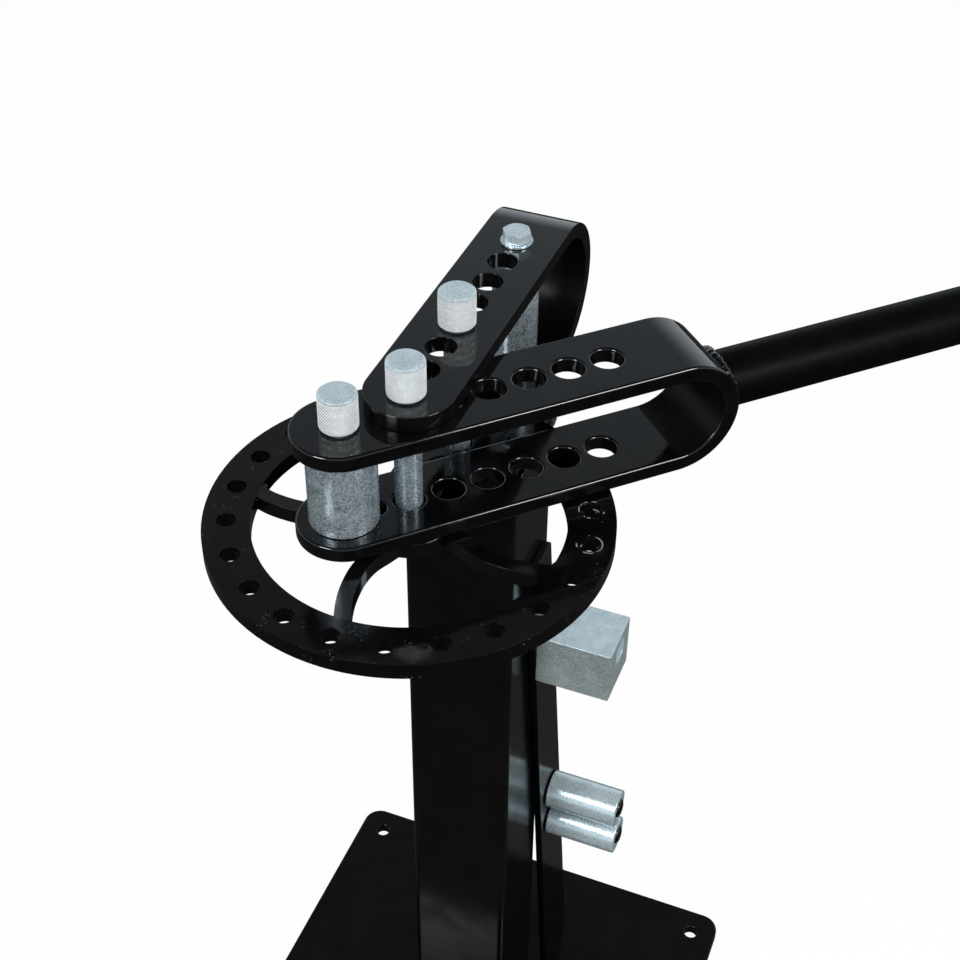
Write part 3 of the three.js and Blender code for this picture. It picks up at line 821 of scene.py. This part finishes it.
def buildHandle():
    size = handleSizes
    radius = size["tube"] / 2 * mm
    axisZ = middle("swing_arm").z - pivotZ
    reach = (middle("handle_end_cap") - Vector((0, 0, pivotZ))).xy.length - 9 * mm + 3 * mm
    bm = bmesh.new()
    rings = []
    for inside in (False, True):
        r = radius - size["wall"] * mm if inside else radius
        start = []
        stop = []
        for k in range(size["steps"]):
            turn = 2 * math.pi * k / size["steps"]
            y = r * math.cos(turn)
            z = r * math.sin(turn)
            start.append(bm.verts.new((bendFace(z) + 0.4 * mm, y, axisZ + z)))
            stop.append(bm.verts.new((reach, y, axisZ + z)))
        rings.append((start, stop))
    (outerStart, outerStop), (innerStart, innerStop) = rings
    for first, second in (
        (outerStart, outerStop), (outerStop, innerStop), (innerStop, innerStart), (innerStart, outerStart),
    ):
        for k in range(size["steps"]):
            j = (k + 1) % size["steps"]
            bm.faces.new((first[k], first[j], second[j], second[k]))
    addPiece("handleTube", bm, tubeEnamel, "arm", ["handle_tube"], armPlace, 0.5, 2, 60)


# A weld bead laid along a closed or open line of points, with ripples
def buildBead(name, points, radius, body, closed=True, place=None, flat=0.75, seed=3):
    bm = bmesh.new()
    count = len(points)
    sides = 10
    loops = []
    for k, point in enumerate(points):
        back = points[k - 1] if closed or k else point
        ahead = points[(k + 1) % count] if closed or k < count - 1 else point
        along = (ahead - back).normalized()
        up = Vector((0, 0, 1)) if abs(along.z) < 0.9 else Vector((1, 0, 0))
        side = along.cross(up).normalized()
        rise = side.cross(along).normalized()
        ripple = 1 + 0.1 * math.sin(k * 1.25 + seed) + 0.14 * noise.noise(point * 300 + Vector((seed, 0, 0)))
        loop = []
        r = radius * ripple * mm
        for s in range(sides):
            turn = 2 * math.pi * s / sides
            offset = side * (r * math.cos(turn)) + rise * (flat * r * math.sin(turn))
            loop.append(bm.verts.new(point + offset))
        loops.append(loop)
    pairs = zip(loops, loops[1:] + loops[:1]) if closed else zip(loops, loops[1:])
    for first, second in pairs:
        for s in range(sides):
            t = (s + 1) % sides
            bm.faces.new((first[s], first[t], second[t], second[s]))
    if not closed:
        bm.faces.new(loops[0])
        bm.faces.new(list(reversed(loops[-1])))
    return addPiece(name, bm, weldEnamel, body, [], place, angle=60)


def buildHandleBead():
    radius = handleSizes["tube"] / 2 * mm
    axisZ = middle("swing_arm").z - pivotZ
    points = []
    for k in range(handleSizes["beadSteps"]):
        turn = 2 * math.pi * k / handleSizes["beadSteps"]
        z = (radius + 1 * mm) * math.sin(turn)
        points.append(Vector((bendFace(z) + 1.2 * mm, (radius + 1 * mm) * math.cos(turn), axisZ + z)))
    buildBead("handleWeld", points, handleSizes["bead"], "arm", True, armPlace, 0.8)


gripSizes = {"ribs": 7, "flange": 4, "flangeLength": 7, "thick": 4, "length": 150, "rib": 1.2}


def buildGrip():
    size = gripSizes
    inner = handleSizes["tube"] / 2 + 0.3
    outer = inner + size["thick"]
    length = size["length"]
    capFace = handleSizes["tube"] / 2
    profile = [(inner, 0)]
    profile += roundCorner(outer + size["flange"], 0, 1.5, "lowerOuter")
    profile += roundCorner(outer + size["flange"], size["flangeLength"], 1.5, "upperOuter")
    pitch = (length - 2 * size["flangeLength"]) / size["ribs"]
    for k in range(size["ribs"]):
        start = size["flangeLength"] + k * pitch
        for j in range(9):
            lift = size["rib"] * math.sin(math.pi * j / 8) ** 2
            profile.append((outer + lift, start + pitch * (0.22 + 0.56 * j / 8)))
    profile += roundCorner(outer, length, 1.2, "upperOuter") + [(inner, length), (inner, 0)]
    bm = lathe(profile, 72)
    axisZ = middle("swing_arm").z - pivotZ
    end = handleReach()
    turn = Matrix.Rotation(math.pi / 2, 4, "Y")
    place = armPlace @ Matrix.Translation((end - length * mm, 0, axisZ)) @ turn
    addPiece("gripSleeve", bm, gripRubber, "arm", ["handle_grip"], place)
    cap = [(0, 0), (capFace - 4, 0), (capFace - 3.5, 12), (capFace - 3.5, 14), (capFace - 0.4, 14.3)]
    cap += roundCorner(capFace, 18, 1.6, "upperOuter") + [(capFace * 0.6, 18.0), (0, 18.0)]
    bm = lathe(cap, 72)
    place = armPlace @ Matrix.Translation((end - 13.7 * mm, 0, axisZ)) @ turn
    addPiece("endCap", bm, capPlastic, "arm", ["handle_end_cap"], place)


# How far the tube's end lies from the pivot
def handleReach():
    high = nodeBox("handle_tube")[1]
    return (high.x - handleSizes["tube"] / 2 * mm * math.sin(armTurn)) / math.cos(armTurn)


buildHandle()
buildHandleBead()
buildGrip()
print("handle made")


# Post, base, rear legs and pegs
postSizes = {"corner": 6, "wall": 5, "bead": 3.4, "steps": 8}


def roundedBox(x0, y0, x1, y1, corner, steps):
    points = arcPoints(x1 - corner, y0 + corner, corner, -math.pi / 2, 0, steps)
    points += arcPoints(x1 - corner, y1 - corner, corner, 0, math.pi / 2, steps)
    points += arcPoints(x0 + corner, y1 - corner, corner, math.pi / 2, math.pi, steps)
    points += arcPoints(x0 + corner, y0 + corner, corner, math.pi, 1.5 * math.pi, steps)
    return points


def buildPost():
    size = postSizes
    low, high = nodeBox("post")
    outline = roundedBox(low.x, low.y, high.x, high.y, size["corner"] * mm, size["steps"])
    wall = size["wall"] * mm
    corner = (size["corner"] - size["wall"] + 1) * mm
    hollow = roundedBox(low.x + wall, low.y + wall, high.x - wall, high.y - wall, corner, size["steps"])
    bm = prism(outline, low.z, high.z)
    bm = carve(bm, prism(hollow, low.z - wall, high.z + wall))
    addPiece("postTube", bm, postEnamel, "stand", ["post"], angle=40)
    low, high = nodeBox("post_head_plate")
    bm = prism(roundedBox(low.x, low.y, high.x, high.y, 2 * mm, 4), low.z, high.z)
    addPiece("headPlate", bm, postEnamel, "stand", ["post_head_plate"], bevel=0.8)


baseSizes = {"corner": 18, "hole": 14, "inset": 26, "edge": 1.2}


def buildBase():
    size = baseSizes
    low, high = nodeBox("base_plate")
    bm = prism(roundedBox(low.x, low.y, high.x, high.y, size["corner"] * mm, 12), low.z, high.z)
    drill = bmesh.new()
    inset = size["inset"] * mm
    for x in (low.x + inset, high.x - inset):
        for y in (low.y + inset, high.y - inset):
            addRod(drill, x, y, size["hole"] / 2 * mm, low.z - 0.01, high.z + 0.01)
    bm = carve(bm, drill)
    addPiece("basePlate", bm, postEnamel, "stand", ["base_plate"], bevel=size["edge"])


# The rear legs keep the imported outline, with their edges eased
def buildFromNode(name, node, material, body, bevel, segments=2):
    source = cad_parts[node]
    bm = bmesh.new()
    bm.from_mesh(source.data)
    bmesh.ops.transform(bm, matrix=source.matrix_world, verts=bm.verts)
    bmesh.ops.remove_doubles(bm, verts=bm.verts, dist=0.002 * mm)
    bmesh.ops.dissolve_limit(bm, angle_limit=math.radians(1), verts=bm.verts, edges=bm.edges)
    return addPiece(name, bm, material, body, [node], bevel=bevel, segments=segments)


pegSizes = {"dome": 4, "domeSteps": 6, "flat": 0.45, "bead": 1.6, "beadSteps": 50}


def buildPeg(name, node):
    size = pegSizes
    low, high = nodeBox(node)
    spot = middle(node)
    radius = (high.z - low.z) / 2 / mm
    length = (high.x - low.x) / mm
    shoulder = length - size["dome"]
    profile = [(0, 0), (radius, 0), (radius, shoulder)]
    for k in range(1, size["domeSteps"] + 1):
        turn = math.pi / 2 * k / size["domeSteps"]
        across = size["flat"] + (1 - size["flat"]) * math.cos(turn)
        profile.append((radius * across, shoulder + size["dome"] * math.sin(turn)))
    profile.append((0, length))
    place = Matrix.Translation((low.x, spot.y, spot.z)) @ Matrix.Rotation(math.pi / 2, 4, "Y")
    addPiece(name, lathe(profile, 40), enamel, "stand", [node], place)
    ring = []
    reach = (radius + 0.6) * mm
    for k in range(size["beadSteps"]):
        turn = 2 * math.pi * k / size["beadSteps"]
        y = spot.y + reach * math.cos(turn)
        z = spot.z + reach * math.sin(turn)
        ring.append(Vector((low.x + 0.4 * mm, y, z)))
    buildBead(name + "Weld", ring, size["bead"], "stand")


def buildStand():
    buildPost()
    buildBase()
    buildFromNode("rightLeg", "rear_leg_right", postEnamel, "stand", 0.8)
    buildFromNode("leftLeg", "rear_leg_left", postEnamel, "stand", 0.8)
    buildPeg("squarePeg", "peg_square")
    buildPeg("upperPeg", "peg_upper")
    buildPeg("lowerPeg", "peg_lower")


buildStand()
print("stand made")


# Welds on the stand
def straightPoints(start, end, step=1.5):
    start = Vector(start)
    end = Vector(end)
    count = max(2, int((end - start).length / (step * mm)))
    return [start.lerp(end, k / count) for k in range(count + 1)]


def buildStandWelds():
    low, high = nodeBox("post")
    bead = postSizes["bead"]
    corners = roundedBox(low.x, low.y, high.x, high.y, postSizes["corner"] * mm, 5)
    for name, z in (("postFootWeld", low.z + 0.5 * mm), ("postHeadWeld", high.z)):
        loop = []
        for (x0, y0), (x1, y1) in zip(corners, corners[1:] + corners[:1]):
            loop += straightPoints((x0, y0, z), (x1, y1, z), 2)[:-1]
        buildBead(name, loop, bead, "stand")


# Fillets where the struts meet the ring
strutWeld = {"reach": 9.5, "steps": 12, "radius": 3, "flat": 1.6}


def buildStrutWelds():
    inner = ringSizes["inner"] * mm
    reach = strutWeld["reach"] / ringSizes["inner"]
    sideX, sideY = strutShares["side"][0]
    for name, x, y in (
        ("rightStrutWeld", sideX, sideY),
        ("leftStrutWeld", -sideX, sideY),
        ("frontStrutWeld", *strutShares["front"][0]),
    ):
        turn = math.atan2(y, x)
        places = arcPoints(0, 0, inner, turn - reach, turn + reach, strutWeld["steps"])
        points = [Vector((px, py, -ringSizes["thick"] / 2 * mm)) for px, py in places]
        buildBead(name, points, strutWeld["radius"], "stand", False, ringPlace, strutWeld["flat"])


buildStandWelds()
buildStrutWelds()
print("welds laid")


# Studio
stage = {
    "floorSize": 14, "keep": 0.95, "floorInGloss": 0.05,
    "skyTint": (0.88, 0.98, 1.06), "floorTint": (1.0, 1.0, 0.9),
}
skyInDiffuse = [(0.0, 0.3), (0.4, 0.45), (0.8, 0.8), (1.0, 1.0)]
skyInGloss = [
    (0.0, 1.0), (0.25, 0.95), (0.42, 0.62), (0.52, 0.46),
    (0.6, 0.36), (0.66, 0.28), (0.75, 0.15), (1.0, 0.06),
]


# White to the camera and through clear pieces, and at a share of that in reflections
def backdropSwitch(tree, share):
    path = tree.nodes.new("ShaderNodeLightPath")
    seen = mathOf(tree, "MAXIMUM", path.outputs["Is Camera Ray"], path.outputs["Is Transmission Ray"])
    level = mathOf(tree, "MULTIPLY", path.outputs["Is Glossy Ray"], share)
    return seen, path.outputs["Is Glossy Ray"], mathOf(tree, "ADD", seen, level)


def buildFloor():
    bm = bmesh.new()
    bmesh.ops.create_grid(bm, x_segments=1, y_segments=1, size=stage["floorSize"] / 2)
    mesh = bpy.data.meshes.new("floor")
    bm.to_mesh(mesh)
    bm.free()
    floor = bpy.data.objects.new("floor", mesh)
    bpy.context.scene.collection.objects.link(floor)
    material, tree, shader = newMaterial("floorWhite")
    shader.inputs["Base Color"].default_value = (0.8, 0.8, 0.8, 1)
    shader.inputs["Roughness"].default_value = 0.9
    seen, glossy, strength = backdropSwitch(tree, stage["floorInGloss"])
    glow = tree.nodes.new("ShaderNodeEmission")
    tree.links.new(mixColor(tree, glossy, (1, 1, 1), stage["floorTint"]), glow.inputs["Color"])
    tree.links.new(strength, glow.inputs["Strength"])
    mix = tree.nodes.new("ShaderNodeMixShader")
    kept = mathOf(tree, "MULTIPLY", seen, stage["keep"])
    tree.links.new(mathOf(tree, "MAXIMUM", kept, glossy), mix.inputs["Fac"])
    tree.links.new(shader.outputs["BSDF"], mix.inputs[1])
    tree.links.new(glow.outputs["Emission"], mix.inputs[2])
    tree.links.new(mix.outputs["Shader"], tree.nodes["Material Output"].inputs["Surface"])
    mesh.materials.append(material)


def buildWorld():
    world = bpy.data.worlds.new("studio")
    bpy.context.scene.world = world
    world.use_nodes = True
    tree = world.node_tree
    ambient = tree.nodes["Background"]
    ambient.inputs["Color"].default_value = (0.95, 0.98, 1.0, 1)
    ray = tree.nodes.new("ShaderNodeTexCoord").outputs["Generated"]
    split = tree.nodes.new("ShaderNodeSeparateXYZ")
    tree.links.new(ray, split.inputs[0])
    light = rampOf(tree, split.outputs["Z"], [(place, grey(level)) for place, level in skyInDiffuse])
    tree.links.new(light, ambient.inputs["Strength"])
    share = rampOf(tree, split.outputs["Z"], [(place, grey(level)) for place, level in skyInGloss])
    seen, glossy, strength = backdropSwitch(tree, share)
    white = tree.nodes.new("ShaderNodeBackground")
    tree.links.new(mixColor(tree, glossy, (1, 1, 1), stage["skyTint"]), white.inputs["Color"])
    tree.links.new(strength, white.inputs["Strength"])
    mix = tree.nodes.new("ShaderNodeMixShader")
    tree.links.new(mathOf(tree, "MAXIMUM", seen, glossy), mix.inputs["Fac"])
    tree.links.new(ambient.outputs["Background"], mix.inputs[1])
    tree.links.new(white.outputs["Background"], mix.inputs[2])
    tree.links.new(mix.outputs["Shader"], tree.nodes["World Output"].inputs["Surface"])


cameraPlace = {
    "x": 349.47, "y": -761.38, "abovePivot": 728.66,
    "azimuth": 0.37337, "elevation": 0.69493, "roll": 0.00918, "focal": 1629.02,
    "frame": 960, "sensor": 36,
}


def cameraAxes():
    az = cameraPlace["azimuth"]
    el = cameraPlace["elevation"]
    back = Vector((math.sin(az) * math.cos(el), -math.cos(az) * math.cos(el), math.sin(el)))
    right = Vector((math.cos(az), math.sin(az), 0))
    up = back.cross(right)
    roll = cameraPlace["roll"]
    return right * math.cos(roll) + up * math.sin(roll), up * math.cos(roll) - right * math.sin(roll), back


def buildCamera():
    data = bpy.data.cameras.new("camera")
    data.sensor_width = cameraPlace["sensor"]
    data.lens = cameraPlace["focal"] / cameraPlace["frame"] * cameraPlace["sensor"]
    camera = bpy.data.objects.new("camera", data)
    right, up, back = cameraAxes()
    turn = Matrix((right, up, back)).transposed().to_4x4()
    spot = Vector((cameraPlace["x"] * mm, cameraPlace["y"] * mm, pivotZ + cameraPlace["abovePivot"] * mm))
    camera.matrix_world = Matrix.Translation(spot) @ turn
    bpy.context.scene.collection.objects.link(camera)
    bpy.context.scene.camera = camera


# Lamps stand at a turn from the camera's azimuth, and at an elevation and distance from the pivot
lamps = {
    "leftBox": {"turn": -42, "elevation": 30, "distance": 1.8, "size": (0.6, 0.5), "power": 22},
    "rightBox": {"turn": 54, "elevation": 28, "distance": 1.8, "size": (0.65, 0.5), "power": 24},
}


def buildLamps():
    centre = Vector((0, 0.05, pivotZ))
    for name, lamp in lamps.items():
        data = bpy.data.lights.new(name, "AREA")
        data.shape = "RECTANGLE"
        data.size, data.size_y = lamp["size"]
        data.energy = lamp["power"]
        turn = cameraPlace["azimuth"] + math.radians(lamp["turn"])
        rise = math.radians(lamp["elevation"])
        away = Vector((math.sin(turn) * math.cos(rise), -math.cos(turn) * math.cos(rise), math.sin(rise)))
        side = Vector((math.cos(turn), math.sin(turn), 0))
        holder = bpy.data.objects.new(name, data)
        aim = Matrix((side, away.cross(side), away)).transposed().to_4x4()
        holder.matrix_world = Matrix.Translation(centre + away * lamp["distance"]) @ aim
        holder.visible_camera = False
        bpy.context.scene.collection.objects.link(holder)


buildFloor()
buildWorld()
buildCamera()
buildLamps()
bpy.context.scene.view_settings.view_transform = "Standard"
print("studio lit")
